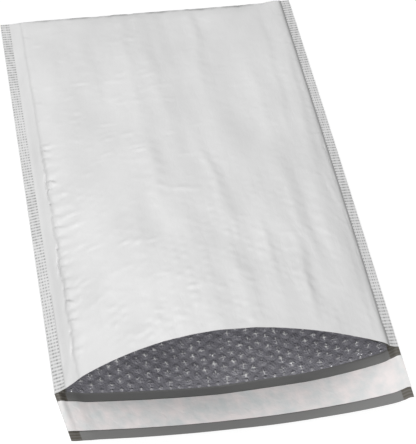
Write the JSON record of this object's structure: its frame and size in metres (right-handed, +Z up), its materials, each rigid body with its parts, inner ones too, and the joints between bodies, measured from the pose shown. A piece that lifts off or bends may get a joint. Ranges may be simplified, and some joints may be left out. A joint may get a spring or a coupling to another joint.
{
  "type": "padded mailing envelope",
  "caption": "Bubble-lined plastic mailing envelope lying open, with crimped side welds and a flap that carries a covered adhesive stripe.",
  "frame": {"origin": "on the table, under the middle of the whole piece's footprint", "axes": "+Y from the open mouth and its flap towards the folded closed end, +X across the bag to the right as seen from the mouth, +Z up"},
  "size_m": [0.3618, 0.559, 0.0945],
  "materials": {
    "outer_film": "satin co-extruded polyethylene film, white outside and grey inside",
    "bubble_film": "glossy grey air-bubble film",
    "hot_melt_adhesive": "tacky pressure-sensitive hot melt, faintly straw-coloured",
    "silicone_liner": "thin silicone-coated white strip, softly crinkled"
  },
  "bodies": {
    "root": {"outer_film": "outer_film", "bubble_lining": "bubble_film", "adhesive_strip": "hot_melt_adhesive", "release_liner": "silicone_liner"}
  },
  "joints": []
}
